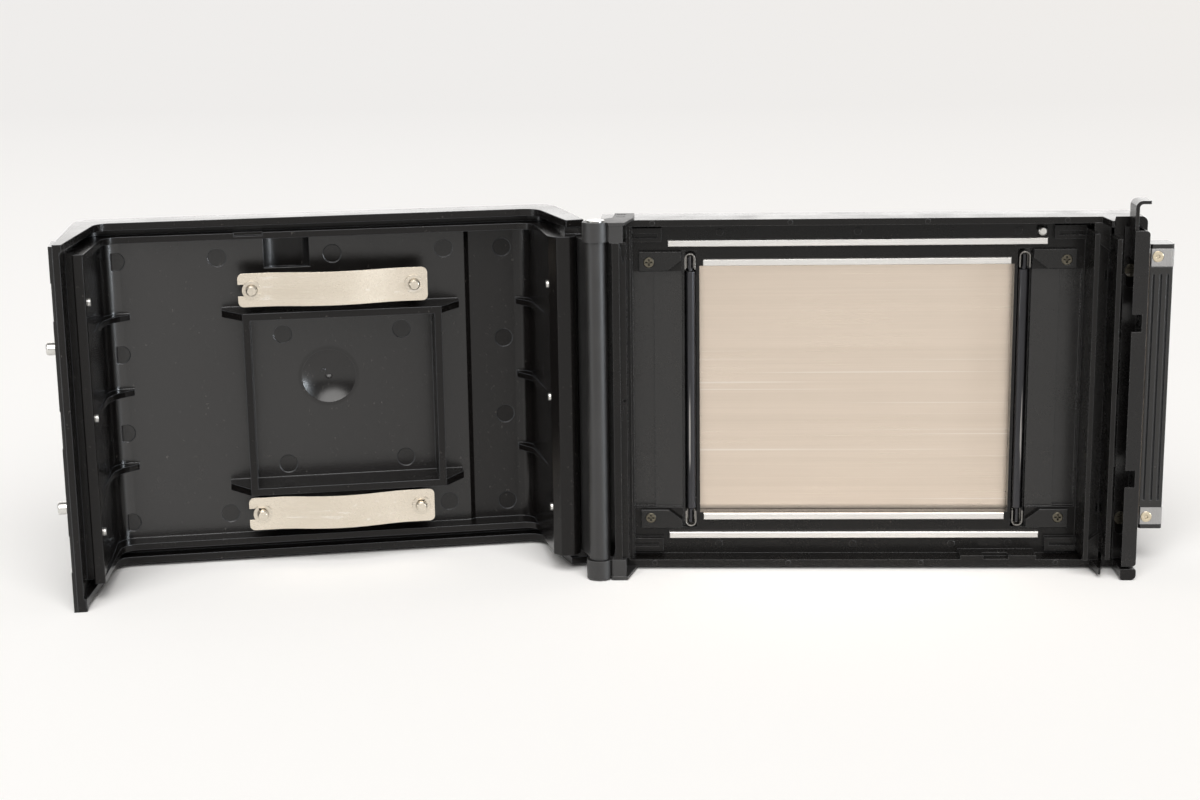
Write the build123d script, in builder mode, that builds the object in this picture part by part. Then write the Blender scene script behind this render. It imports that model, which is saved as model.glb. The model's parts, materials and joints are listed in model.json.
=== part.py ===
"""Rear shell of a 6x7 roll-film magazine, standing open on its long narrow edge.

Frame: X to the right, Y towards the camera the magazine clips to, +Z up, origin at the
centre of the camera-side mounting face, on the optical axis.  Millimetres.
"""

from build123d import *
import math
import os

os.makedirs("parts", exist_ok=True)

# ---- driving dimensions -------------------------------------------------------------
FILM = -9.0  # Y of the film rails
HALF_H = 38.9  # half height of the shell
RIM_T = 1.4  # thickness of the top and bottom rims
GATE_W, GATE_H = 68.5, 56.0  # film gate
BODY_L, BODY_R = -52.9, 61.4  # ends of the body
BED = FILM + 0.8  # bed the rails stand on
CAST_BACK = FILM + 3.4  # camera side of the gate casting
SLIDE_Y = FILM + 4.0  # middle of the dark slide
COVER = FILM + 4.6  # rear face of the slide cover
PLATE = FILM + 5.6  # rear face of the mounting plate
RAIL_W = 1.5
INNER_RAIL_Z, INNER_RAIL_L = 28.8, 67.0
OUTER_RAIL_Z, OUTER_RAIL_L = 33.1, 82.4
ROLLER_X, ROLLER_R, JOURNAL_R = 36.3, 1.25, 0.65
PIN_X, PIN_Y, PIN_R = -56.4, FILM - 10.4, 1.0  # hinge axis
RUN = 0.05  # radial running clearance
BARREL_R, BARREL_H = 2.3, 35.2
OPEN_TILT = 11.4  # lean of the open door out of the body's plane
STUD_Z, STUD_R = 17.1, 1.35
LATCH_X0, LATCH_X1 = 57.3, 60.4
LATCH_Y = FILM - 12.05  # rear face of the latch bar
LATCH_T = 0.6  # thickness of its slotted face
LATCH_H = 36.8
LATCH_TRAVEL = 2.6
FOOT = 39.8  # depth of the feet below the middle
SPRING_N = 24.0  # where the leaf springs sit, measured in from the hinge line
SPRING_Z = (23.6, -27.6)
SPRING_U = (-73.2, -37.4)
FLOOR = 33.3  # inner floor of the door

door = Plane(
    origin=(PIN_X, PIN_Y, 0),
    x_dir=(math.cos(math.radians(OPEN_TILT)), math.sin(math.radians(OPEN_TILT)), 0),
    z_dir=(0, 0, 1),
)


def facing_viewer(y):
    """Plane that faces the open side of the body at a given Y."""
    return Plane(origin=(0, y, 0), x_dir=(1, 0, 0), z_dir=(0, -1, 0))


def door_facing(n):
    """Plane that faces the open side of the door, n deep from the hinge line."""
    spot = door.from_local_coords(Vector(0, n, 0))
    return Plane(origin=spot, x_dir=door.x_dir, z_dir=-door.y_dir)


def door_end(u, outward):
    """Plane across the door at u, facing away from the hinge or towards it."""
    spot = door.from_local_coords(Vector(u, 0, 0))
    return Plane(origin=spot, x_dir=door.y_dir, z_dir=door.x_dir * outward)


def prism(plane, points, depth, mode=Mode.ADD):
    """Extruded outline; a point is (x, y), or (x, y, corner radius)."""
    with BuildSketch(plane) as outline:
        with BuildLine():
            if len(points[0]) == 3:
                FilletPolyline(*[p[:2] for p in points], radius=[p[2] for p in points], close=True)
            else:
                Polyline(*points, close=True)
        make_face()
    extrude(outline.sketch, amount=depth, mode=mode)


def block(x0, x1, y0, y1, z0, z1, mode=Mode.ADD):
    with Locations(((x0 + x1) / 2, (y0 + y1) / 2, (z0 + z1) / 2)):
        Box(x1 - x0, y1 - y0, z1 - z0, mode=mode)


def discs(plane, spots, radius, depth, mode=Mode.ADD):
    with BuildSketch(plane) as outline:
        with Locations(*spots):
            Circle(radius)
    extrude(outline.sketch, amount=depth, mode=mode)


def save(piece, name):
    piece.part.label = name
    export_step(piece.part, f"parts/{name}.step")


# ---- body casting: bed with the gate, rims, end walls -----------------------------------
gate_sides = (-GATE_W / 2, GATE_W / 2)
screw_spots = [(sx * 45.3, sz * 29.0) for sx in (-1, 1) for sz in (-1, 1)]
plane_stakes = [(-29.8, 35.4), (0.2, 35.4), (34.9, 35.3), (-30, -35.3), (0, -35.4)]
plane_stakes += [(22, -35.4), (34.6, -35.2)]
rim_stakes = [(x, z) for x in (-44.4, -14.7, 14.7, 44.4) for z in (-38.2, 38.2)]

with BuildPart() as body_casting:
    block(-50.4, 54.6, BED, CAST_BACK, -37.6, 37.6)
    for side in (-1, 1):
        z_in, z_out = sorted((side * (HALF_H - RIM_T), side * HALF_H))
        block(-48.2, 51.8, FILM - 4.5, FILM + 5.5, z_in, z_out)
        block(51.8, BODY_R, FILM - 4.5, FILM + 5.5, z_in, z_out)
        prism(
            Plane.XY.offset(z_in),
            [(51.8, FILM - 4.5), (52.6, FILM - 11.1), (53.0, FILM - 11.1), (54.6, FILM - 4.5)],
            z_out - z_in,
        )
        prism(
            Plane.XY.offset(z_in),
            [(-48.2, FILM - 4.5), (-48.2, FILM + 5.5), (-52.9, FILM + 5.5), (-52.9, FILM - 4.5)],
            z_out - z_in,
        )
    block(BODY_L, -51.4, FILM - 12.4, FILM + 5.5, -35.1, 35.1)
    block(-51.4, -50.0, FILM - 11.0, FILM + 5.5, -35.1, 35.1)
    # flange behind the hinge barrel, which closes the gap to light
    block(BODY_L - 2.7, BODY_L, FILM - 3.0, FILM + 5.5, -HALF_H, HALF_H)
    block(-50.4, -49.3, FILM - 3.2, FILM + 3.4, -37.6, 37.6)
    block(-50.4, -48.9, FILM - 1.6, FILM + 0.8, -37.6, 37.6)
    block(BODY_L, -50.0, FILM - 4.5, FILM + 5.5, -HALF_H, -35.1)
    block(BODY_L, -50.0, FILM - 4.5, FILM + 5.5, 35.1, HALF_H)
    block(49.3, 50.3, FILM - 10.2, BED, -36.0, 36.0)
    block(50.3, 53.3, FILM - 3.4, BED, -37.6, 37.6)
    block(53.3, 53.6, FILM - 3.4, CAST_BACK, -35.1, 35.1)
    block(53.6, 54.6, FILM - 12.5, CAST_BACK, -35.1, 35.1)
    block(54.4, BODY_R, FILM - 4.5, CAST_BACK, -HALF_H + RIM_T, HALF_H - RIM_T)
    block(54.4, BODY_R, CAST_BACK, FILM + 5.5, -HALF_H, -31.0)
    block(54.4, BODY_R, CAST_BACK, FILM + 5.5, 31.0, HALF_H)
    # foot under the latch bar
    foot = [(57.0, -37.3, 0), (LATCH_X1, -37.3, 0.4), (LATCH_X1, -FOOT, 1.2), (57.0, -FOOT, 0.8)]
    prism(facing_viewer(FILM - 4.5), foot, FILM - 4.1 - LATCH_Y)
    # gussets between the rims and the ridge of the latch end
    for side in (-1, 1):
        gusset = [(50.2, side * 37.6), (53.7, side * 37.6), (53.7, side * 31.4), (50.2, side * 34.0)]
        prism(facing_viewer(BED), gusset, 5.4)
    # ledge and pocket beside the bottom rim
    block(23.4, 40.1, FILM - 4.5, BED, -37.6, -36.6)
    block(28.5, 34.0, FILM - 4.6, FILM - 2.0, -37.4, -36.5, mode=Mode.SUBTRACT)
    # stepped ledges in the four corners
    for sx in (-1, 1):
        for sz in (-1, 1):
            x0, x1 = sorted((sx * 42.5, sx * 49.3))
            z0, z1 = sorted((sz * 33.6, sz * 36.6))
            block(x0, x1, FILM - 0.8, BED, z0, z1)
            x0, x1 = sorted((sx * 43.4, sx * 49.3))
            z0, z1 = sorted((sz * 34.4, sz * 35.4))
            block(x0, x1, FILM - 0.9, FILM + 0.1, z0, z1, mode=Mode.SUBTRACT)
    # gate, roller grooves and end pockets
    block(*gate_sides, BED - 1, CAST_BACK + 1, -GATE_H / 2, GATE_H / 2, mode=Mode.SUBTRACT)
    for sx in (-1, 1):
        x0, x1 = sorted((sx * 34.9, sx * 38.1))
        block(x0, x1, BED - 1, FILM + 2.9, -31.4, 31.4, mode=Mode.SUBTRACT)
        x0, x1 = sorted((sx * 38.0, sx * 48.9))
        block(x0, x1, BED - 1, FILM + 1.7, -26.8, 26.8, mode=Mode.SUBTRACT)
        x0, x1 = sorted((sx * 44.2, sx * 48.9))
        block(x0, x1, BED, FILM + 2.5, -26.8, 26.8, mode=Mode.SUBTRACT)
    discs(facing_viewer(FILM + 3.0), screw_spots, 0.8, 3.0, mode=Mode.SUBTRACT)
    discs(facing_viewer(BED), plane_stakes, 0.8, 0.15)
    discs(facing_viewer(FILM - 4.5), rim_stakes, 0.55, 0.12)
    # tab windows in the latch channel and stud recess
    for z in (-26.0, -14.0, -2.0, 10.0, 24.5):
        block(55.2, 56.4, FILM - 5.6, FILM - 4.5, z - 2.0, z + 2.0)
    discs(facing_viewer(FILM - 1.5), [(58.0, -27.5), (58.0, 27.5)], 1.0, 4, mode=Mode.SUBTRACT)
    block(38.8, 41.0, FILM - 0.1, BED + 1.2, 34.3, 36.4, mode=Mode.SUBTRACT)
    # small window and slot beside the ridge, nick and keyhole in the hinge end's wall
    for z in (-29.1, 29.1):
        block(53.5, 54.0, FILM - 8.2, FILM - 4.6, z - 0.9, z + 0.9, mode=Mode.SUBTRACT)
    for z in (-26.0, 26.0):
        block(52.9, 53.4, FILM - 4, FILM - 1.4, z - 1.2, z + 1.2, mode=Mode.SUBTRACT)
    prism(facing_viewer(FILM - 9.4), [(-51.3, 34.6), (-49.6, 34.6), (-50.6, 30.3)], 2, mode=Mode.SUBTRACT)
    discs(facing_viewer(FILM - 10.0), [(-50.5, 0.4)], 0.42, 2, mode=Mode.SUBTRACT)
    slit = [(-50.7, -0.6), (-50.4, -0.6), (-51.0, -3.9), (-51.2, -3.9)]
    prism(facing_viewer(FILM - 10.4), slit, 2, mode=Mode.SUBTRACT)
    # outer corners of the latch end
    ends = body_casting.edges().filter_by(Axis.Y).group_by(Axis.X)[-1].sort_by(Axis.Z)
    fillet([ends[-1]], 1.4)
    fillet([ends[0]], 0.8)
save(body_casting, "body_casting")

with BuildPart() as locating_pin:
    discs(facing_viewer(FILM + 2.0), [(39.9, 35.35)], 1.0, 3.3)
    chamfer(locating_pin.faces().sort_by(Axis.Y)[0].edges(), 0.3)
save(locating_pin, "locating_pin")

# ---- rails the film and the pressure plate run on -----------------------------------------
rails = {
    "inner_rail_top": (INNER_RAIL_Z, INNER_RAIL_L, 0.0),
    "inner_rail_bottom": (-INNER_RAIL_Z, INNER_RAIL_L, 0.0),
    "outer_rail_top": (OUTER_RAIL_Z, OUTER_RAIL_L, -0.2),
    "outer_rail_bottom": (-OUTER_RAIL_Z, OUTER_RAIL_L, -0.2),
}
for rail_name, (rail_z, rail_l, lift) in rails.items():
    with BuildPart() as rail:
        with Locations((0, (BED + FILM + lift) / 2, rail_z)):
            Box(rail_l, BED - FILM - lift, RAIL_W)
        front = rail.faces().sort_by(Axis.Y)[0]
        chamfer(front.edges(), 0.15)
    save(rail, rail_name)

# ---- film rollers, their bearing clips and cover plates -------------------------------------
ROLLER_Y = FILM + 0.95
for roller_name, roller_x in (("roller_left", -ROLLER_X), ("roller_right", ROLLER_X)):
    with BuildPart() as roller:
        with BuildSketch(Plane.XY.offset(-27.0)):
            with Locations((roller_x, ROLLER_Y)):
                Circle(ROLLER_R)
        extrude(amount=54.0)
        chamfer(roller.edges().filter_by(GeomType.CIRCLE), 0.2)
        with BuildSketch(Plane.XY.offset(-30.2)):
            with Locations((roller_x, ROLLER_Y)):
                Circle(JOURNAL_R)
        extrude(amount=60.4)
    save(roller, roller_name)

with BuildPart() as roller_clips:
    for sx in (-1, 1):
        for sz in (-1, 1):
            x0 = sx * ROLLER_X
            hoop = [(x0 - 1.2, 27.4, 0), (x0 + 1.2, 27.4, 0)]
            hoop += [(x0 + 1.2, 30.9, 1.15), (x0 - 1.2, 30.9, 1.15)]
            hollow = [(x0 - 0.95, 27.0, 0), (x0 + 0.95, 27.0, 0)]
            hollow += [(x0 + 0.95, 30.65, 0.9), (x0 - 0.95, 30.65, 0.9)]
            saddle_y = ROLLER_Y + JOURNAL_R + RUN
            prism(facing_viewer(FILM + 2.8), [(x, sz * z, r) for x, z, r in hoop], 3.2)
            prism(facing_viewer(saddle_y), [(x, sz * z, r) for x, z, r in hollow], 4.0, mode=Mode.SUBTRACT)
save(roller_clips, "roller_clips")

cover_outline = [(38.2, 29.4), (38.2, 31.4), (47.5, 31.4), (47.5, 27.1), (41.2, 27.1)]
with BuildPart() as roller_covers:
    for sx in (-1, 1):
        for sz in (-1, 1):
            corners = [(sx * x, sz * z) for x, z in cover_outline]
            prism(facing_viewer(BED), corners, 1.2)
    discs(facing_viewer(BED + 0.5), screw_spots, 0.9, 3.0, mode=Mode.SUBTRACT)
    discs(facing_viewer(FILM + 0.1), screw_spots, 1.25, 1.0, mode=Mode.SUBTRACT)
    chamfer(roller_covers.faces().group_by(Axis.Y)[0].edges().filter_by(GeomType.LINE), 0.12)
save(roller_covers, "roller_covers")

with BuildPart() as cover_screws:
    discs(facing_viewer(FILM + 2.6), screw_spots, 0.75, 2.9)
    discs(facing_viewer(FILM + 0.1), screw_spots, 1.2, 0.6)
    chamfer(cover_screws.faces().group_by(Axis.Y)[0].edges(), 0.15)
    for x, z in screw_spots:
        block(x - 0.75, x + 0.75, FILM - 0.6, FILM, z - 0.2, z + 0.2, mode=Mode.SUBTRACT)
        block(x - 0.2, x + 0.2, FILM - 0.6, FILM, z - 0.75, z + 0.75, mode=Mode.SUBTRACT)
save(cover_screws, "cover_screws")

# ---- dark slide with its handle -----------------------------------------------------------------
rivet_spots = [(65.1, -29.3), (65.1, 29.3)]
with BuildPart() as dark_slide:
    with BuildSketch(facing_viewer(SLIDE_Y + 0.25)):
        with Locations((14.5, 0)):
            RectangleRounded(107.0, 59.4, 1.5)
    extrude(amount=0.5)
    discs(facing_viewer(SLIDE_Y + 1), rivet_spots, 1.3, 2.0, mode=Mode.SUBTRACT)
save(dark_slide, "dark_slide")

HANDLE_L, HANDLE_R = 63.5, 68.6
with BuildPart() as handle_block:
    block(HANDLE_L, HANDLE_R, SLIDE_Y - 2.9, SLIDE_Y + 2.9, -31.0, 31.0)
    chamfer(handle_block.edges().filter_by(Axis.Z), 0.25)
    block(62.0, 68.0, SLIDE_Y - 0.25, SLIDE_Y + 0.25, -29.7, 29.7, mode=Mode.SUBTRACT)
    block(62.0, 69.0, SLIDE_Y - 3.0, SLIDE_Y - 1.9, -27.1, 27.1, mode=Mode.SUBTRACT)
    block(62.0, 69.0, SLIDE_Y + 1.9, SLIDE_Y + 3.0, -27.1, 27.1, mode=Mode.SUBTRACT)
    discs(facing_viewer(SLIDE_Y + 3.0), rivet_spots, 1.25, 6.0, mode=Mode.SUBTRACT)
save(handle_block, "handle_block")

with BuildPart() as handle_rivets:
    discs(facing_viewer(SLIDE_Y + 3.0), rivet_spots, 1.25, 6.0)
    chamfer(handle_rivets.faces().sort_by(Axis.Y)[0:2].edges(), 0.12)
    chamfer(handle_rivets.faces().sort_by(Axis.Y)[-2:].edges(), 0.12)
    discs(facing_viewer(SLIDE_Y - 2.85), rivet_spots, 0.45, 0.3, mode=Mode.SUBTRACT)
save(handle_rivets, "handle_rivets")

with BuildPart() as handle_caps:
    for sz in (-1, 1):
        z0, z1 = sorted((sz * 31.0, sz * 32.0))
        block(HANDLE_L, HANDLE_R, SLIDE_Y - 2.9, SLIDE_Y + 2.9, z0, z1)
    chamfer(handle_caps.edges().filter_by(Axis.Z), 0.4)
save(handle_caps, "handle_caps")

for grip_name, side in (("handle_grip_rear", -1), ("handle_grip_front", 1)):
    with BuildPart() as grip:
        y0, y1 = sorted((SLIDE_Y + side * 1.9, SLIDE_Y + side * 3.0))
        block(HANDLE_L, HANDLE_R - 0.2, y0, y1, -27.1, 27.1)
        y0, y1 = sorted((SLIDE_Y + side * 2.4, SLIDE_Y + side * 3.1))
        for x in (64.3, 65.9, 67.4):
            block(x - 0.22, x + 0.22, y0, y1, -25.4, 25.4, mode=Mode.SUBTRACT)
    save(grip, grip_name)

# ---- camera side: slide cover, light trap, mounting plate -----------------------------------
with BuildPart() as slide_cover:
    block(-50.0, 61.2, COVER, PLATE, -30.9, 30.9)
    block(-35.5, 35.5, COVER - 1, PLATE + 1, -29.0, 29.0, mode=Mode.SUBTRACT)
    block(50.0, 54.0, COVER - 1, PLATE + 1, -30.0, 30.0, mode=Mode.SUBTRACT)
save(slide_cover, "slide_cover")

with BuildPart() as slide_guides:
    for sz in (-1, 1):
        z0, z1 = sorted((sz * 30.0, sz * 30.9))
        block(-50.0, 54.2, CAST_BACK, COVER, z0, z1)
    block(-50.0, -40.0, CAST_BACK, COVER, -30.0, 30.0)
save(slide_guides, "slide_guides")

with BuildPart() as light_trap_felt:
    block(50.0, 54.0, SLIDE_Y + 0.3, PLATE, -30.0, 30.0)
save(light_trap_felt, "light_trap_felt")

plate_screw_spots = [(x, z) for x in (-46.0, 55.5) for z in (-31.5, 31.5)]
with BuildPart() as mount_plate:
    with BuildSketch(facing_viewer(0)):
        with Locations((4.8, 0)):
            RectangleRounded(113.0, 71.0, 3.0)
        Rectangle(70.0, 57.4, mode=Mode.SUBTRACT)
    extrude(amount=-PLATE)
    with BuildSketch(facing_viewer(0)):
        with Locations((0, 0)):
            RectangleRounded(84.0, 65.0, 2.0)
        Rectangle(78.0, 61.0, mode=Mode.SUBTRACT)
    extrude(amount=0.8, mode=Mode.SUBTRACT)
    chamfer(mount_plate.faces().sort_by(Axis.Y)[-1].outer_wire().edges(), 0.4)
    for x, z in plate_screw_spots:
        with Locations(Location((x, 0, z), (-90, 0, 0))):
            Cylinder(0.85, 20, mode=Mode.SUBTRACT)
    discs(facing_viewer(0.1), plate_screw_spots, 1.6, 1.0, mode=Mode.SUBTRACT)
save(mount_plate, "mount_plate")

# hooks below and catch lugs above, which hang the magazine on the camera
with BuildPart() as hanging_hooks:
    for x in (-36.0, 36.0):
        block(x - 6, x + 6, PLATE, -0.8, -FOOT, -35.5)
save(hanging_hooks, "hanging_hooks")

with BuildPart() as catch_lugs:
    for x in (-36.0, 36.0):
        block(x - 6, x + 6, -2.2, -0.8, 35.5, 38.4)
save(catch_lugs, "catch_lugs")

with BuildPart() as plate_screws:
    discs(facing_viewer(-0.15), plate_screw_spots, 1.5, 0.7)
    discs(facing_viewer(-0.15), plate_screw_spots, 0.8, 3.2)
    for x, z in plate_screw_spots:
        block(x - 0.9, x + 0.9, -0.55, 0.0, z - 0.18, z + 0.18, mode=Mode.SUBTRACT)
        block(x - 0.18, x + 0.18, -0.55, 0.0, z - 0.9, z + 0.9, mode=Mode.SUBTRACT)
save(plate_screws, "plate_screws")

# ---- hinge: pin and the body's two brackets ------------------------------------------------
bracket_outline = [(-53.6, FILM - 12.6), (-50.2, FILM - 12.6), (-48.4, FILM - 4.5), (-48.4, FILM + 2.4)]
bracket_outline += [(-52.6, FILM + 2.6), (-53.0, FILM - 4.6), (-56.4, FILM - 7.6)]
for bracket_name, side in (("hinge_bracket_top", 1), ("hinge_bracket_bottom", -1)):
    with BuildPart() as bracket:
        z0, z1 = sorted((side * HALF_H, side * (HALF_H + 0.6)))
        prism(Plane.XY.offset(z0), bracket_outline, z1 - z0)
        z0, z1 = sorted((side * 35.3, side * (HALF_H + 0.6)))
        with Locations((PIN_X, PIN_Y, (z0 + z1) / 2)):
            Cylinder(2.9, z1 - z0)
        block(PIN_X, -53.2, PIN_Y - 1.2, PIN_Y + 1.4, z0, z1)
        block(-53.4, -50.6, FILM - 12.4, FILM - 4.5, *sorted((side * 35.1, side * HALF_H)))
        with Locations((PIN_X, PIN_Y, (z0 + z1) / 2)):
            Cylinder(PIN_R, 10, mode=Mode.SUBTRACT)
        z0, z1 = sorted((side * (HALF_H - 1), side * (HALF_H + 1)))
        for y in (FILM - 3.4, FILM + 0.2):
            block(-52.2, -50.2, y - 0.35, y + 0.35, z0, z1, mode=Mode.SUBTRACT)
    save(bracket, bracket_name)

with BuildPart() as hinge_pin:
    with BuildSketch(Plane.XY.offset(-39.6)):
        with Locations((PIN_X, PIN_Y)):
            Circle(PIN_R)
    extrude(amount=79.2)
    for side in (-1, 1):
        z0, z1 = sorted((side * (HALF_H + 0.6), side * FOOT))
        with Locations((PIN_X, PIN_Y, (z0 + z1) / 2)):
            Cylinder(1.9, z1 - z0)
save(hinge_pin, "hinge_pin")

# ---- door shell: a C-shaped trough with a light-trap groove round its rim -------------------
# outlines across the door, as (u, n, corner radius)
outer_wall = [(-112.6, -2.0, 0), (-112.2, 6.0, 0), (-110.9, 35.6, 5.0), (-4.7, 35.6, 4.5)]
outer_wall += [(-1.6, 12.0, 6.0), (-1.3, 8.5, 0)]
rim_edge = [(-110.8, -2.0, 0), (-109.6, 6.1, 2.0), (-106.2, 28.4, 4.0), (-9.0, 28.9, 4.5), (-5.2, 8.0, 0)]
groove_floor = [(-111.2, -2.0, 0), (-111.2, 8.0, 0), (-108.6, 31.9, 4.5), (-7.0, 31.9, 4.0), (-5.4, 9.0, 0)]
lip_left = [(-111.2, -2.0, 0), (-111.2, 8.0, 0), (-109.4, 8.0, 0), (-109.4, 4.5, 0.3), (-107.1, 4.5, 0.5)]
lip_right = [(-9.3, 7.0, 0.5), (-7.7, 4.5, 0.6), (-4.6, 4.7, 1.0), (-3.3, 6.5, 0.4), (-3.3, 8.5, 0)]
lip_edge = lip_left + [(-104.8, 28.5, 4.0), (-10.2, 28.5, 3.5)] + lip_right
cavity = lip_left + [(-106.0, FLOOR, 4.2), (-25.2, FLOOR, 0.3), (-24.2, FLOOR + 1, 0.3)]
cavity += [(-10.6, FLOOR + 1, 3.5)] + lip_right
levels = [(0.0, 34.3, cavity), (34.3, 35.75, lip_edge), (35.75, 37.3, groove_floor)]
levels += [(37.3, HALF_H, rim_edge)]
marks = [(-102.9, 29.6), (-102.9, 8.5), (-102.9, -9.6), (-102.9, -30.5), (-80.6, 29.7)]
marks += [(-80.6, -29.6), (-55.0, 29.7), (-29.9, 30.0), (-30.2, -29.6)]
frame_marks = [(-66.9, 11.7), (-40.0, 11.8), (-66.9, -18.6), (-40.0, -18.4)]
recess_marks = [(-16.5, 29.6), (-16.5, 8.5), (-16.5, -9.5), (-16.5, -30.4)]
end_rivets = [(8.0, -25.1), (8.0, 0.0), (8.0, 25.1)]
pin_spots = [(u, z) for u in SPRING_U for z in SPRING_Z]
rib = [(-80.1, 33.8), (-80.1, 29.8), (-75.5, 23.5), (-31.5, 23.5), (-27.0, 29.8), (-27.0, 33.8)]
fin_left = [(-108.0, 9.5, 0), (-106.9, 9.5, 0.4), (-105.4, 28.0, 9.0), (-100.4, 32.0, 0.4)]
fin_left += [(-100.4, 34.0, 0), (-108.0, 34.0, 0)]
fin_right = [(-8.0, 12.0, 0), (-9.6, 12.0, 0.3), (-10.8, 28.0, 5.0), (-13.6, 32.4, 0.4)]
fin_right += [(-13.6, 34.9, 0), (-8.0, 34.9, 0)]

with BuildPart() as door_shell:
    for low, high, inner in levels:
        for side in (-1, 1):
            z0, z1 = sorted((side * low, side * high))
            prism(door.offset(z0), outer_wall + inner[::-1], z1 - z0)
    # inner frame: two long ribs with sloping ears, two short ribs
    for z0, z1 in ((16.8, 18.4), (-23.2, -21.6)):
        prism(door.offset(z0), rib, z1 - z0)
    for u in (-75.5, -33.1):
        prism(door.offset(-23.2), [(u, 23.5), (u + 1.6, 23.5), (u + 1.6, 33.8), (u, 33.8)], 41.6)
    # spool guide fins
    for z in (-17.2, 0.0, 17.2):
        prism(door.offset(z - 0.65), fin_left, 1.3)
        prism(door.offset(z - 0.65), fin_right, 1.3)
    # bosses the spring pins stand on
    discs(door_facing(FLOOR + 0.5), pin_spots, 1.9, FLOOR + 0.5 - SPRING_N - 0.3)
    # moulding marks, dimple, gear pocket
    discs(door_facing(FLOOR + 0.25), marks + frame_marks, 2.05, 0.6, mode=Mode.SUBTRACT)
    discs(door_facing(FLOOR + 1.25), recess_marks, 2.05, 0.6, mode=Mode.SUBTRACT)
    with Locations(door_facing(FLOOR - 11.9).location * Location((-56.9, 1.6, 0))):
        Sphere(13.4, mode=Mode.SUBTRACT)
    discs(door_facing(FLOOR + 1.7), [(-58.0, 2.6)], 0.45, 0.7)
    with BuildSketch(door.offset(27.0)) as pocket:
        with Locations((-65.2, FLOOR - 6.0)):
            Circle(7.9)
        with Locations((-65.2, FLOOR - 8.0)):
            Rectangle(30.0, 12.0, mode=Mode.SUBTRACT)
    extrude(pocket.sketch, amount=7.3, mode=Mode.SUBTRACT)
    notch = [(-76.6, 28.0), (-70.3, 28.0), (-70.3, 30.0), (-76.6, 30.0)]
    prism(door.offset(35.0), notch, 1.5, mode=Mode.SUBTRACT)
    # holes of the small wall rivets
    discs(door_end(-107.9, 1), end_rivets, 0.85, 1.4, mode=Mode.SUBTRACT)
    discs(door_end(-8.6, -1), end_rivets, 0.85, 1.2, mode=Mode.SUBTRACT)
    # seat for the hinge leaf, foot post at the free end
    seat = [(-3.0, 5.9), (-0.9, 5.9), (-1.4, 10.0), (-3.0, 10.0)]
    prism(door.offset(-BARREL_H), seat, 2 * BARREL_H, mode=Mode.SUBTRACT)
    post = [(-112.6, -2.0, 0), (-110.6, -2.0, 0.5), (-110.6, 1.0, 0.5), (-112.45, 1.0, 0)]
    prism(door.offset(-FOOT), post, FOOT - 37.0)
save(door_shell, "door_shell")

with BuildPart() as hinge_barrel:
    with BuildSketch(door.offset(-BARREL_H)):
        Circle(BARREL_R)
        with BuildLine():
            Polyline((-3.0, 10.0), (-3.0, 6.6), (-1.9, 0.6), (0, 1.5), (-0.9, 5.9), (-1.4, 10.0), close=True)
        make_face()
    extrude(amount=2 * BARREL_H)
    with Locations(door.location):
        Cylinder(PIN_R + RUN, 80, mode=Mode.SUBTRACT)
save(hinge_barrel, "hinge_barrel")

stud_spots = [(-0.4, STUD_Z), (-0.4, -STUD_Z)]
with BuildPart() as edge_strip:
    prism(door.offset(-FOOT), [(-113.4, -2.0), (-112.6, -2.0), (-112.2, 6.0), (-113.4, 6.0)], FOOT + 38.6)
    for z in (-27.0, 0.0, 27.0):
        block_outline = [(-113.5, -2.3), (-113.1, -2.3), (-113.1, -0.8), (-113.5, -0.8)]
        prism(door.offset(z - 4.0), block_outline, 8.0, mode=Mode.SUBTRACT)
    discs(door_end(-112.0, -1), stud_spots, 0.95, 3.0, mode=Mode.SUBTRACT)
save(edge_strip, "edge_strip")

with BuildPart() as door_studs:
    discs(door_end(-112.7, -1), stud_spots, 0.9, 1.5)
    discs(door_end(-113.4, -1), stud_spots, STUD_R, 1.9)
    chamfer(door_studs.faces().sort_by(Axis(door.origin, door.x_dir))[0:2].edges(), 0.25)
save(door_studs, "door_studs")

with BuildPart() as wall_rivets:
    discs(door_end(-107.9, 1), end_rivets, 0.85, 1.4)
    discs(door_end(-8.6, -1), end_rivets, 0.85, 1.2)
save(wall_rivets, "wall_rivets")

# ---- leaf springs, their pins and retaining clips ------------------------------------------
for spring_name, spring_z in zip(("leaf_spring_top", "leaf_spring_bottom"), SPRING_Z):
    with BuildPart() as leaf:
        with BuildSketch(door.offset(spring_z - 3.75)):
            with BuildLine():
                Spline((-70.5, 24.0), (-62.0, 22.6), (-55.4, 21.9), (-48.6, 22.6), (-40.0, 24.0),
                       tangents=((1, 0), (1, 0)))
                Line((-40.0, 24.0), (-34.4, 24.0))
                Line((-34.4, 24.0), (-34.4, 24.3))
                Line((-34.4, 24.3), (-40.0, 24.3))
                Spline((-40.0, 24.3), (-48.6, 22.9), (-55.4, 22.2), (-62.0, 22.9), (-70.5, 24.3),
                       tangents=((-1, 0), (-1, 0)))
                Line((-70.5, 24.3), (-76.2, 24.3))
                Line((-76.2, 24.3), (-76.2, 24.0))
                Line((-76.2, 24.0), (-70.5, 24.0))
            make_face()
        extrude(amount=7.5)
        fillet(leaf.edges().filter_by(Axis(door.origin, door.y_dir)), 1.2)
        holes = [(u, spring_z) for u in SPRING_U]
        discs(door_facing(25.0), holes, 1.3, 3, mode=Mode.SUBTRACT)
        low, high = spring_z - 1.3, spring_z + 1.3
        fork = [(-77.0, low), (-73.2, low), (-73.2, high), (-77.0, high)]
        prism(door_facing(25.0), fork, 3.0, mode=Mode.SUBTRACT)
    save(leaf, spring_name)

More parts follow.
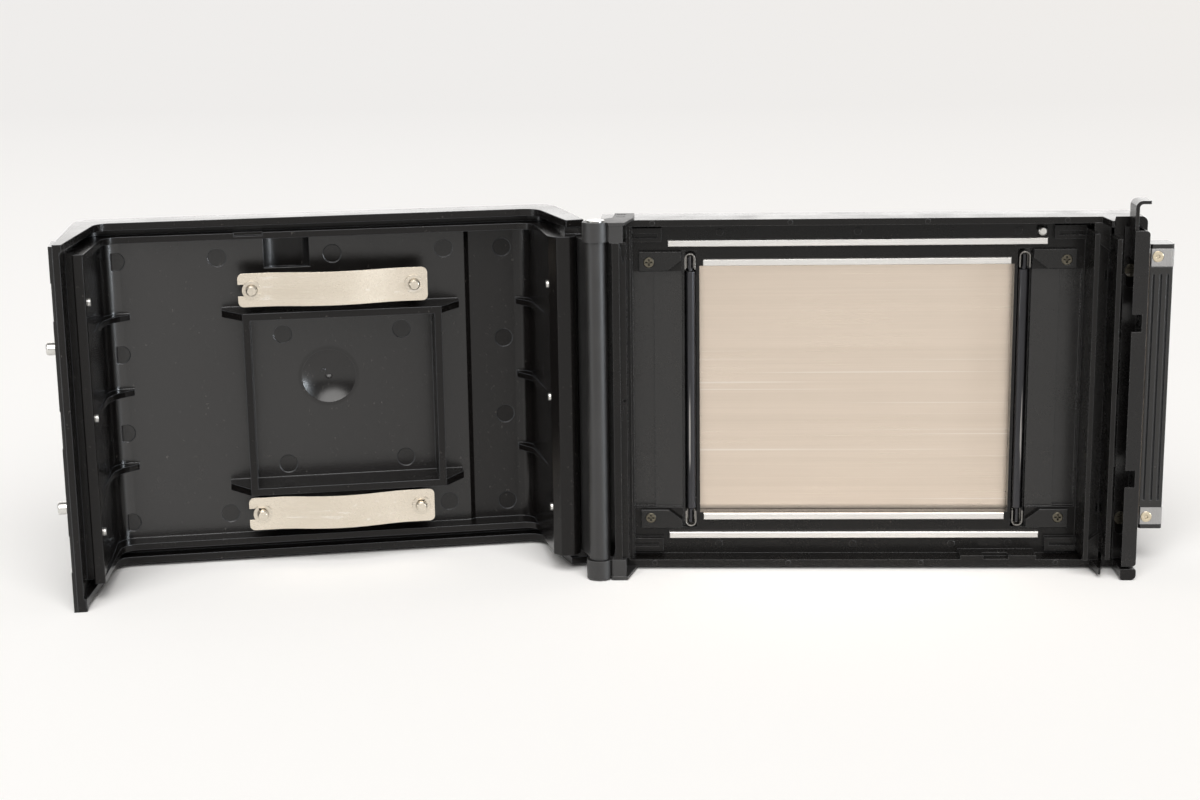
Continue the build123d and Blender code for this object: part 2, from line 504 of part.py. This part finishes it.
with BuildPart() as spring_pins:
    discs(door_facing(SPRING_N + 0.3), pin_spots, 1.15, 2.0)
    chamfer(spring_pins.faces().sort_by(Axis(door.origin, door.y_dir))[0:4].edges(), 0.2)
save(spring_pins, "spring_pins")

with BuildPart() as e_clips:
    discs(door_facing(SPRING_N), pin_spots, 2.1, 0.35)
    discs(door_facing(SPRING_N + 1), pin_spots, 1.15, 3.0, mode=Mode.SUBTRACT)
    for u, z in pin_spots:
        gap = [(u + 0.5, z - 0.5), (u + 2.4, z - 0.9), (u + 2.4, z + 0.9), (u + 0.5, z + 0.5)]
        if z < 0:
            gap = [(u - 0.6, z + 0.5), (u - 1.2, z + 2.3), (u + 0.9, z + 2.3), (u + 0.6, z + 0.5)]
        prism(door_facing(SPRING_N + 1), gap, 3.0, mode=Mode.SUBTRACT)
save(e_clips, "e_clips")

# ---- outside of the door: grip covering and the card holder -------------------------------
with BuildPart() as door_cover:
    with BuildSketch(door_facing(35.6)):
        with Locations((-57.3, 0)):
            RectangleRounded(92.0, 72.0, 3.0)
    extrude(amount=-0.6)
save(door_cover, "door_cover")

with BuildPart() as card_holder:
    with BuildSketch(door_facing(36.2)):
        with Locations((-57.3, -8.0)):
            RectangleRounded(62.0, 46.0, 2.0)
    extrude(amount=-0.4)
    with BuildSketch(door_facing(36.6)):
        with Locations((-57.3, -8.0)):
            RectangleRounded(62.0, 46.0, 2.0)
        with Locations((-57.3, -5.5)):
            Rectangle(58.6, 46.0, mode=Mode.SUBTRACT)
    extrude(amount=-0.9)
    with BuildSketch(door_facing(37.5)):
        with Locations((-57.3, -8.0)):
            RectangleRounded(62.0, 46.0, 2.0)
        with Locations((-57.3, -5.0)):
            Rectangle(54.0, 46.0, mode=Mode.SUBTRACT)
    extrude(amount=-0.5)
save(card_holder, "card_holder")

# ---- latch bar with its finger tab ---------------------------------------------------------
with BuildPart() as latch_bar:
    block(LATCH_X0, LATCH_X1, LATCH_Y, LATCH_Y + LATCH_T, -LATCH_H, LATCH_H)
    block(LATCH_X1 - 0.9, LATCH_X1, LATCH_Y, FILM - 4.7, -LATCH_H, LATCH_H)
    block(56.5, LATCH_X1, FILM - 5.5, FILM - 4.7, -LATCH_H, LATCH_H)
    for z in (-STUD_Z, STUD_Z):
        block(LATCH_X0 - 1, 59.4, LATCH_Y - 1, LATCH_Y + 2, z - 1.9, z + 1.9, mode=Mode.SUBTRACT)
    for z in (-27.5, 27.5):
        with BuildSketch(facing_viewer(FILM - 4.0)):
            with Locations((58.0, z - LATCH_TRAVEL / 2)):
                SlotOverall(LATCH_TRAVEL + 2.4, 2.2, rotation=90)
        extrude(amount=2.0, mode=Mode.SUBTRACT)
    corner = latch_bar.edges().filter_by(Axis.Y).group_by(Axis.X)[-1]
    fillet(corner, 0.8)
save(latch_bar, "latch_bar")

with BuildPart() as latch_finger:
    block(LATCH_X0, LATCH_X0 + 0.8, LATCH_Y + LATCH_T, FILM - 5.6, 30.5, 43.1)
    block(LATCH_X0, LATCH_X0 + 3.2, LATCH_Y + LATCH_T, FILM - 5.6, 42.4, 43.1)
    bend = latch_finger.edges().filter_by(Axis.Y)
    fillet(bend.filter_by(lambda e: abs(e.center().Z - 42.4) < 0.01 and e.center().X < 59.0), 0.8)
    bend = latch_finger.edges().filter_by(Axis.Y)
    fillet(bend.filter_by(lambda e: abs(e.center().Z - 43.1) < 0.01 and e.center().X < 59.0), 1.5)
save(latch_finger, "latch_finger")

with BuildPart() as latch_screws:
    for z in (-27.5, 27.5):
        discs(facing_viewer(FILM - 5.6), [(58.0, z)], 1.4, 0.7)
        discs(facing_viewer(FILM - 1.6), [(58.0, z)], 0.95, 4.2)
        block(57.7, 58.3, FILM - 6.4, FILM - 6.0, z - 1.7, z + 1.7, mode=Mode.SUBTRACT)
save(latch_screws, "latch_screws")
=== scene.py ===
"""Looks of the open roll-film magazine shell: its finishes, and the paper, light and camera around it.

All shapes come from the CAD solids. Blender works in metres; the finishes count in millimetres."""

import json
import math

import bpy
from mathutils import Matrix, Vector


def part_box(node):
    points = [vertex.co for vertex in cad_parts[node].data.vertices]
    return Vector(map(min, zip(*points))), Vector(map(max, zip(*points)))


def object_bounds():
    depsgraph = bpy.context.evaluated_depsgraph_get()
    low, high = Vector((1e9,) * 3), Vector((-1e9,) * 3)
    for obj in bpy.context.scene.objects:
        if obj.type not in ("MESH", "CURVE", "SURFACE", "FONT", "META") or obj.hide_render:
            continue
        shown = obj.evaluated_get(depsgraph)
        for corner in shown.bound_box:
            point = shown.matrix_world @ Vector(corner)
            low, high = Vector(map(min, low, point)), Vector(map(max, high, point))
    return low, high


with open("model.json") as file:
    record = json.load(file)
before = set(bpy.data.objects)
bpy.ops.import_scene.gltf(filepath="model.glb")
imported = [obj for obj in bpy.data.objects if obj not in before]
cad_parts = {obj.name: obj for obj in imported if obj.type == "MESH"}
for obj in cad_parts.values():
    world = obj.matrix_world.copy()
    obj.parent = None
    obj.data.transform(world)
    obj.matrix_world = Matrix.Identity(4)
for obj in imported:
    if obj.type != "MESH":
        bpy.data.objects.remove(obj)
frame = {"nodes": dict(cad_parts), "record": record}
cad_low, cad_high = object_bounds()

MM = 0.001  # one millimetre in metres
BEVEL_SAMPLES = 6
OCCLUSION_SAMPLES = 8
NOISE_LOW, NOISE_HIGH = 0.3, 0.7  # the range that most of a noise texture stays in

# Places on the object at rest, in millimetres. Depths in the door are measured from the hinge axis.
POCKET_Y = -7.75  # the casting's bed is in front of this, the floors of its pockets are behind it
DOOR_TILT = math.radians(11.4)  # lean of the open door out of the body's plane
RIB_DEPTH = 32.6  # ribs, fins and walls are nearer than this
FLOOR_DEPTH = 32.9  # the door's floor is deeper than this
MARK_DEPTH = 33.43  # between the floor and the ejector marks sunk into it
RECESS_DEPTH = 33.95  # between those marks and the recessed strip beside the hinge
RECESS_MARK_DEPTH = 34.43  # between the recessed strip and its own ejector marks
DIMPLE_FROM_HINGE, DIMPLE_Z = 56.9, 1.6  # middle of the round dimple in the door's floor


# ---- shader helpers ---------------------------------------------------------------------------
class Finish:
    """A principled material, with short calls for the procedural nodes that feed it.

    Texture space is millimetres in the frame at rest, so a scale of 2 means two cells per millimetre."""

    def __init__(self, name, metallic=0.0, specular=0.5, anisotropy=0.0):
        self.name = name
        self.material = bpy.data.materials.new(name)
        self.material.use_nodes = True
        self.nodes = self.material.node_tree.nodes
        self.links = self.material.node_tree.links
        self.shader = self.nodes["Principled BSDF"]
        self.shader.inputs["Metallic"].default_value = metallic
        self.shader.inputs["Specular IOR Level"].default_value = specular
        self.shader.inputs["Anisotropic"].default_value = anisotropy
        self.place = self.nodes.new("ShaderNodeTexCoord").outputs["Object"]

    def put(self, value, socket):
        """Links a node's output to a socket, or sets the socket to a number, colour or vector."""
        if isinstance(value, bpy.types.NodeSocket):
            self.links.new(value, socket)
        elif socket.type == "RGBA":
            socket.default_value = (*value, 1.0)
        else:
            socket.default_value = value

    def space(self, stretch=(1, 1, 1)):
        """Millimetre coordinates, squeezed along each axis by stretch."""
        mapping = self.nodes.new("ShaderNodeMapping")
        mapping.inputs["Scale"].default_value = [s / MM for s in stretch]
        self.links.new(self.place, mapping.inputs["Vector"])
        return mapping.outputs["Vector"]

    def dot(self, a, b):
        node = self.nodes.new("ShaderNodeVectorMath")
        node.operation = "DOT_PRODUCT"
        self.put(a, node.inputs[0])
        self.put(b, node.inputs[1])
        return node.outputs["Value"]

    def along(self, direction):
        """Millimetres from the frame's origin along a direction."""
        return self.dot(self.space(), direction)

    def noise(self, scale, detail, rough, stretch=(1, 1, 1), distortion=0.0):
        node = self.nodes.new("ShaderNodeTexNoise")
        node.inputs["Scale"].default_value = scale
        node.inputs["Detail"].default_value = detail
        node.inputs["Roughness"].default_value = rough
        node.inputs["Distortion"].default_value = distortion
        self.links.new(self.space(stretch), node.inputs["Vector"])
        return node.outputs["Fac"]

    def soft_cells(self, scale):
        """Distance from the middles of rounded cells."""
        node = self.nodes.new("ShaderNodeTexVoronoi")
        node.feature = "SMOOTH_F1"
        node.inputs["Scale"].default_value = scale
        self.links.new(self.space(), node.inputs["Vector"])
        return node.outputs["Distance"]

    def spread(self, value, low, high, to_low=0.0, to_high=1.0):
        """Maps low..high of a value to to_low..to_high, clamped."""
        node = self.nodes.new("ShaderNodeMapRange")
        self.links.new(value, node.inputs["Value"])
        node.inputs["From Min"].default_value = low
        node.inputs["From Max"].default_value = high
        node.inputs["To Min"].default_value = to_low
        node.inputs["To Max"].default_value = to_high
        return node.outputs["Result"]

    def step(self, value, level, fade):
        """0 below a level and 1 above it, with a fade of that much to either side."""
        return self.spread(value, level - fade, level + fade)

    def vary(self, noise, low, high):
        """A number that wanders from low to high with a noise."""
        return self.spread(noise, NOISE_LOW, NOISE_HIGH, low, high)

    def math(self, operation, a, b):
        node = self.nodes.new("ShaderNodeMath")
        node.operation = operation
        self.put(a, node.inputs[0])
        self.put(b, node.inputs[1])
        return node.outputs["Value"]

    def plus(self, a, b):
        return self.math("ADD", a, b)

    def minus(self, a, b):
        return self.math("SUBTRACT", a, b)

    def times(self, a, b):
        return self.math("MULTIPLY", a, b)

    def blend(self, factor, a, b):
        """Colour a where factor is 0, colour b where it is 1."""
        node = self.nodes.new("ShaderNodeMix")
        node.data_type = "RGBA"
        colour_a, colour_b = (socket for socket in node.inputs if socket.type == "RGBA")
        self.put(factor, node.inputs["Factor"])
        self.put(a, colour_a)
        self.put(b, colour_b)
        return next(socket for socket in node.outputs if socket.type == "RGBA")

    def rounded(self, radius):
        """The surface's normal, as if its edges were rounded by radius millimetres."""
        node = self.nodes.new("ShaderNodeBevel")
        node.samples = BEVEL_SAMPLES
        node.inputs["Radius"].default_value = radius * MM
        return node.outputs["Normal"]

    def edges(self, radius):
        """1 on sharp edges within radius millimetres, 0 on open faces."""
        plain = self.nodes.new("ShaderNodeNewGeometry").outputs["Normal"]
        return self.spread(self.dot(self.rounded(radius), plain), 0.99, 0.80)

    def recesses(self, reach):
        """1 deep inside slots and gaps narrower than reach millimetres, 0 on open faces."""
        node = self.nodes.new("ShaderNodeAmbientOcclusion")
        node.samples = OCCLUSION_SAMPLES
        node.inputs["Distance"].default_value = reach * MM
        return self.spread(node.outputs["AO"], 0.85, 0.35)

    def relief(self, height, depth, rounding=0.0):
        """Bump of a height from 0 to 1, depth in millimetres, over edges rounded by rounding millimetres."""
        bump = self.nodes.new("ShaderNodeBump")
        bump.inputs["Strength"].default_value = 1.0
        bump.inputs["Distance"].default_value = depth * MM
        self.links.new(height, bump.inputs["Height"])
        if rounding:
            self.links.new(self.rounded(rounding), bump.inputs["Normal"])
        self.links.new(bump.outputs["Normal"], self.shader.inputs["Normal"])

    def feed(self, colour, roughness, metallic=None, specular=None):
        """Links the values that vary over the surface."""
        self.links.new(colour, self.shader.inputs["Base Color"])
        self.links.new(roughness, self.shader.inputs["Roughness"])
        if metallic is not None:
            self.links.new(metallic, self.shader.inputs["Metallic"])
        if specular is not None:
            self.links.new(specular, self.shader.inputs["Specular IOR Level"])
        return self


def lighter(colour, times):
    return tuple(times * channel for channel in colour)


# ---- finishes ---------------------------------------------------------------------------------
def worn_paint(name, tone, grain, grain_depth, rough=(0.20, 0.30), wear=0.5, specular=0.4, pocket_y=None):
    """Satin black paint on metal: fine grain, soft patches, a painted highlight of grey along the edges, and
    spots of bare metal on them.

    Where Y is beyond pocket_y millimetres the paint is glossier, as in the machined pockets of a casting."""
    painted_edge_highlight, bare_metal = (0.075, 0.075, 0.078), (0.30, 0.29, 0.27)
    pocket_specular, pocket_fade = 0.62, 0.15
    f = Finish(name, specular=specular)
    fine = f.noise(grain, 4, 0.6)
    patches = f.noise(0.12, 4, 0.55)
    colour = f.blend(f.spread(patches, 0.35, 0.7), tone, lighter(tone, 1.35))
    # Painted highlight: lightens the colour to grey along sharp edges, where light catches rounded edges.
    colour = f.blend(f.times(f.edges(0.22), 0.7), colour, painted_edge_highlight)
    chips = f.spread(f.noise(2.2, 5, 0.7), 0.62 - 0.1 * wear, 0.70)
    rubbed = f.times(f.edges(0.14), chips)
    colour = f.blend(rubbed, colour, bare_metal)
    shine = f.plus(f.vary(patches, *rough), f.vary(fine, -0.04, 0.04))
    f.relief(fine, grain_depth, 0.12)
    gloss = None
    if pocket_y is not None:
        y = f.along((0, 1, 0))
        gloss = f.spread(y, pocket_y - pocket_fade, pocket_y + pocket_fade, specular, pocket_specular)
    return f.feed(colour, shine, metallic=f.times(rubbed, 0.8), specular=gloss)


def moulded_plastic(name, tone, gloss=None):
    """Satin black moulding: very fine grain, faint flow marks, a little dust, and a painted highlight along
    the edges.
    """
    dust_grey, painted_edge_glint = (0.35, 0.33, 0.30), (0.095, 0.10, 0.11)
    f = Finish(name, specular=0.6)
    fine = f.noise(3.5, 3, 0.6)
    flow = f.noise(0.05, 4, 0.6, stretch=(1, 1, 0.5), distortion=0.6)
    dust = f.spread(f.noise(1.6, 2, 0.4), 0.70, 0.78)
    colour = f.blend(f.spread(flow, 0.35, 0.7), tone, lighter(tone, 1.3))
    colour = f.blend(f.times(dust, 0.12), colour, dust_grey)
    # Painted highlight: lightens the colour along sharp edges, where light catches them.
    colour = f.blend(f.times(f.edges(0.28), 0.7), colour, painted_edge_glint)
    shine = f.plus(f.vary(flow, 0.19, 0.27), f.vary(fine, -0.03, 0.03))
    f.relief(fine, 0.012, 0.25)
    return f.feed(colour, shine, specular=gloss(f) if gloss else None)


def door_gloss(f):
    """Specular level inside the door: polished floor; duller ribs, walls, recess and ejector marks."""
    far_end, near_hinge = -100.0, -20.0  # the polish fades along the door towards the hinge
    rim_inside, rim_outside = 46.0, 50.0  # squares of distances just outside the dimple's rim
    pin_low, pin_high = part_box("hinge_pin")
    hinge = (pin_low + pin_high) / 2 / MM
    into_door = (-math.sin(DOOR_TILT), math.cos(DOOR_TILT), 0)
    towards_hinge = (math.cos(DOOR_TILT), math.sin(DOOR_TILT), 0)
    depth = f.minus(f.along(into_door), hinge.dot(Vector(into_door)))
    length = f.minus(f.along(towards_hinge), hinge.dot(Vector(towards_hinge)))

    aside = f.math("POWER", f.plus(length, DIMPLE_FROM_HINGE), 2.0)
    upright = f.math("POWER", f.minus(f.along((0, 0, 1)), DIMPLE_Z), 2.0)
    off_dimple = f.spread(f.plus(aside, upright), rim_inside, rim_outside)

    recess = f.step(depth, RECESS_DEPTH, 0.05)
    marks = f.minus(f.step(depth, MARK_DEPTH, 0.03), recess)
    marks = f.plus(marks, f.step(depth, RECESS_MARK_DEPTH, 0.03))
    dull = f.plus(f.times(recess, 0.35), f.times(marks, 0.22))
    dull = f.times(dull, off_dimple)

    polish = f.times(f.spread(length, far_end, near_hinge, 0.80, 0.56), f.minus(1.0, dull))
    polish = f.times(polish, f.spread(off_dimple, 0.0, 1.0, 0.85, 1.0))
    is_floor = f.spread(depth, RIB_DEPTH, FLOOR_DEPTH)
    around = f.times(f.minus(1.0, is_floor), 0.26)
    return f.plus(f.times(is_floor, polish), around)


def brushed_metal(
    name, tone, dark, along, rough=(0.22, 0.34), depth=0.004, streak=0.02, stain=0.6, recess_shade_reach=0.0
):
    """Bare metal brushed along X ('x') or Z ('z'): fine scratches, faint stains, painted shade in the
    recesses.
    """
    scratch, painted_recess_shade = (0.95, 0.91, 0.86), (0.01, 0.009, 0.008)
    f = Finish(name, metallic=1.0, anisotropy=0.35)
    brushing = (streak, 1, 1) if along == "x" else (1, 1, streak)
    staining = (0.3, 1, 1) if along == "x" else (1, 1, 0.3)
    lines = f.noise(6.0, 4, 0.7, stretch=brushing)
    bands = f.noise(0.5, 3, 0.5, stretch=brushing)
    patches = f.noise(0.08, 5, 0.6, stretch=staining)
    scratches = f.spread(f.noise(1.3, 3, 0.5, stretch=brushing), 0.64, 0.69)
    colour = f.blend(f.spread(patches, 0.35, 0.75, 0.0, stain), tone, dark)
    colour = f.blend(f.spread(lines, 0.35, 0.75, 0.0, 0.35), colour, dark)
    colour = f.blend(f.spread(bands, 0.4, 0.7, 0.0, 0.3), colour, dark)
    colour = f.blend(f.times(scratches, 0.35), colour, scratch)
    # Painted shade: darkens the colour in slots and gaps narrower than the reach, where shade falls.
    if recess_shade_reach:
        colour = f.blend(f.times(f.recesses(recess_shade_reach), 0.9), colour, painted_recess_shade)
    shine = f.plus(f.vary(lines, *rough), f.vary(patches, -0.03, 0.05))
    f.relief(lines, depth, 0.1)
    return f.feed(colour, shine)


def plush(name):
    """Short black pile."""
    root, tip = (0.008, 0.008, 0.008), (0.035, 0.034, 0.033)
    f = Finish(name, specular=0.2)
    pile = f.noise(5.0, 4, 0.7)
    colour = f.blend(f.spread(pile, 0.35, 0.7), root, tip)
    f.relief(pile, 0.12)
    return f.feed(colour, f.vary(pile, 0.85, 1.0))


def pebbled_covering(name):
    """Black leather-grain covering."""
    valley, crown = (0.014, 0.014, 0.014), (0.032, 0.031, 0.030)
    f = Finish(name, specular=0.45)
    pebbles = f.spread(f.soft_cells(1.1), 0.0, 0.7, 1.0, 0.0)
    fine = f.noise(4.0, 3, 0.6)
    colour = f.blend(f.spread(pebbles, 0.2, 0.9), valley, crown)
    f.relief(f.plus(pebbles, f.times(fine, 0.15)), 0.16)
    return f.feed(colour, f.spread(pebbles, 0.2, 0.9, 0.62, 0.46))


finishes = (
    worn_paint("casting_black", (0.0050, 0.0045, 0.0042), 3.0, 0.006, specular=0.26, pocket_y=POCKET_Y),
    worn_paint("hinge_paint", (0.012, 0.0115, 0.0115), 2.2, 0.03, (0.42, 0.54), wear=0.7, specular=0.66),
    worn_paint("latch_paint", (0.0050, 0.0046, 0.0045), 3.0, 0.008, wear=0.9),
    worn_paint("cover_black", (0.0045, 0.0042, 0.004), 4.0, 0.006),
    worn_paint("card_frame", (0.014, 0.013, 0.013), 3.0, 0.010, wear=0.8),
    moulded_plastic("door_plastic", (0.0052, 0.0046, 0.0044), gloss=door_gloss),
    moulded_plastic("handle_plastic", (0.006, 0.0055, 0.005)),
    brushed_metal("rail_steel", (0.86, 0.85, 0.83), (0.62, 0.60, 0.57), "x"),
    brushed_metal("roller_steel", (0.070, 0.070, 0.075), (0.035, 0.035, 0.038), "z"),
    brushed_metal("bright_steel", (0.80, 0.79, 0.76), (0.50, 0.49, 0.46), "z"),
    brushed_metal("dark_screw", (0.17, 0.155, 0.12), (0.08, 0.072, 0.055), "x", recess_shade_reach=0.5),
    brushed_metal("clip_steel", (0.34, 0.33, 0.31), (0.16, 0.15, 0.14), "x"),
    brushed_metal("ring_steel", (0.80, 0.73, 0.62), (0.56, 0.50, 0.42), "x", recess_shade_reach=0.6),
    brushed_metal(
        "slide_aluminium", (0.75, 0.645, 0.545), (0.60, 0.51, 0.42), "x", (0.26, 0.36), 0.003, 0.004, 0.3
    ),
    brushed_metal("handle_aluminium", (0.46, 0.455, 0.455), (0.33, 0.325, 0.32), "z"),
    brushed_metal("rivet_brass", (0.84, 0.74, 0.56), (0.50, 0.42, 0.30), "x", recess_shade_reach=0.4),
    brushed_metal("spring_nickel", (0.82, 0.745, 0.635), (0.66, 0.585, 0.48), "x", streak=0.01),
    plush("felt"),
    pebbled_covering("grip_cover"),
)
materials = {finish.name: finish.material for finish in finishes}

slots = {row["node"]: row["material_slot"] for row in frame["record"]["subparts"]}
# These small parts are warmer or darker than the other metals of their slots.
slots.update(e_clips="ring_steel", spring_pins="ring_steel", roller_clips="clip_steel")
for node, piece in frame["nodes"].items():
    piece.data.materials.clear()
    piece.data.materials.append(materials[slots[node]])


# ---- floor, light, camera -----------------------------------------------------------------------
def paper_floor():
    """Pale seamless paper that the magazine stands on, with painted shade: greyer in the distance, and
    warmer and darker to the right.
    """
    reach = 9.0  # metres from the magazine to the paper's edges
    clearance = 0.00002  # keeps the paper's plane apart from the feet's
    near_white, painted_far_shade = (0.985, 0.982, 0.978), (0.85, 0.848, 0.850)
    painted_warm_shade, cloud_grey = (0.86, 0.84, 0.815), (0.80, 0.79, 0.78)
    f = Finish("pale_paper", specular=0.0)
    cloud = f.noise(0.004, 3, 0.5)
    # Painted shade: greys the paper's colour towards the far distance, where the light falls off.
    colour = f.blend(f.spread(f.along((0, 1, 0)), -50.0, 1200.0), near_white, painted_far_shade)
    # Painted shade: warms and darkens the paper's colour towards the right.
    colour = f.blend(f.spread(f.along((1, 0, 0)), -200.0, 700.0, 0.0, 0.4), colour, painted_warm_shade)
    colour = f.blend(f.times(cloud, 0.05), colour, cloud_grey)
    f.relief(f.noise(0.8, 3, 0.6), 0.02)
    f.feed(colour, f.spread(cloud, 0.0, 1.0, 0.75, 0.9))
    top = cad_low.z - clearance
    mesh = bpy.data.meshes.new("paper")
    corners = [(-reach, -reach, top), (reach, -reach, top), (reach, reach, top), (-reach, reach, top)]
    mesh.from_pydata(corners, [], [(0, 1, 2, 3)])
    mesh.materials.append(f.material)
    floor = bpy.data.objects.new("paper", mesh)
    bpy.context.scene.collection.objects.link(floor)


def room():
    """Dim pale room. Seen past the far end of the paper, its wall is as pale as the paper."""
    world = bpy.data.worlds.new("studio")
    world.use_nodes = True
    nodes, links = world.node_tree.nodes, world.node_tree.links
    light = nodes["Background"]
    light.inputs["Color"].default_value = (1.0, 0.985, 0.965, 1.0)
    light.inputs["Strength"].default_value = 0.24
    wall = nodes.new("ShaderNodeBackground")
    wall.inputs["Color"].default_value = (0.85, 0.845, 0.84, 1.0)
    ray = nodes.new("ShaderNodeLightPath")
    shown = nodes.new("ShaderNodeMixShader")
    links.new(ray.outputs["Is Camera Ray"], shown.inputs[0])
    links.new(light.outputs["Background"], shown.inputs[1])
    links.new(wall.outputs["Background"], shown.inputs[2])
    links.new(shown.outputs["Shader"], nodes["World Output"].inputs["Surface"])
    bpy.context.scene.world = world


def add_lamp(data, place, target):
    """Puts a light in the scene at a place, turned towards a target."""
    lamp = bpy.data.objects.new(data.name, data)
    lamp.location = place
    lamp.rotation_mode = "QUATERNION"
    lamp.rotation_quaternion = (Vector(target) - Vector(place)).to_track_quat("-Z", "Y")
    bpy.context.scene.collection.objects.link(lamp)
    return lamp


def wide_sun():
    """Very soft light from above the viewer, even over the whole floor."""
    data = bpy.data.lights.new("front", "SUN")
    data.energy = 3.35
    data.angle = math.radians(60)
    data.color = (1.0, 0.985, 0.965)
    add_lamp(data, (0.05, -0.8, 0.85), (0.0, 0.0, 0.0))


def reflected_box(name, place, target, size, power, tint):
    """Soft box that only shows as a reflection in the finishes: it leaves the paper evenly lit."""
    data = bpy.data.lights.new(name, "AREA")
    data.shape = "RECTANGLE"
    data.size, data.size_y = size
    data.energy = power
    data.color = tint
    lamp = add_lamp(data, place, target)
    lamp.visible_diffuse = False
    lamp.visible_camera = False


def studio():
    """The room, soft light from above the viewer, a bright low wall behind and strips at the sides."""
    room()
    wide_sun()
    reflected_box("back_wall", (0.0, 2.5, 0.85), (0.0, 0.0, 0.0), (6.0, 1.6), 62.0, (1.0, 0.985, 0.97))
    reflected_box("right_strip", (0.70, -0.40, 0.10), (-0.10, 0.0, 0.0), (0.10, 0.5), 8.0, (0.86, 0.93, 1.0))
    reflected_box("left_strip", (-0.75, -0.40, 0.10), (-0.05, 0.0, 0.0), (0.10, 0.5), 2.0, (0.95, 0.98, 1.0))
    bpy.context.scene.view_settings.view_transform = "Standard"


def camera():
    """The photograph's viewpoint: a little left of the gate and above it, looking down and to the left."""
    place = Vector((-0.03603, -0.4593, 0.1009))
    pitch, yaw, roll = 0.2241, -0.0452, -0.0141
    forward = Vector((math.sin(yaw) * math.cos(pitch), math.cos(yaw) * math.cos(pitch), -math.sin(pitch)))
    level = Vector((math.cos(yaw), -math.sin(yaw), 0))
    upright = level.cross(forward)
    right = math.cos(roll) * level + math.sin(roll) * upright
    up = right.cross(forward)
    data = bpy.data.cameras.new("camera")
    data.sensor_width = 36.0
    data.lens = 62.42
    data.clip_start = 0.01
    data.clip_end = 50.0
    body = bpy.data.objects.new("camera", data)
    turn = Matrix((right, up, -forward)).transposed()
    body.matrix_world = Matrix.Translation(place) @ turn.to_4x4()
    bpy.context.scene.collection.objects.link(body)
    bpy.context.scene.camera = body


paper_floor()
studio()
camera()
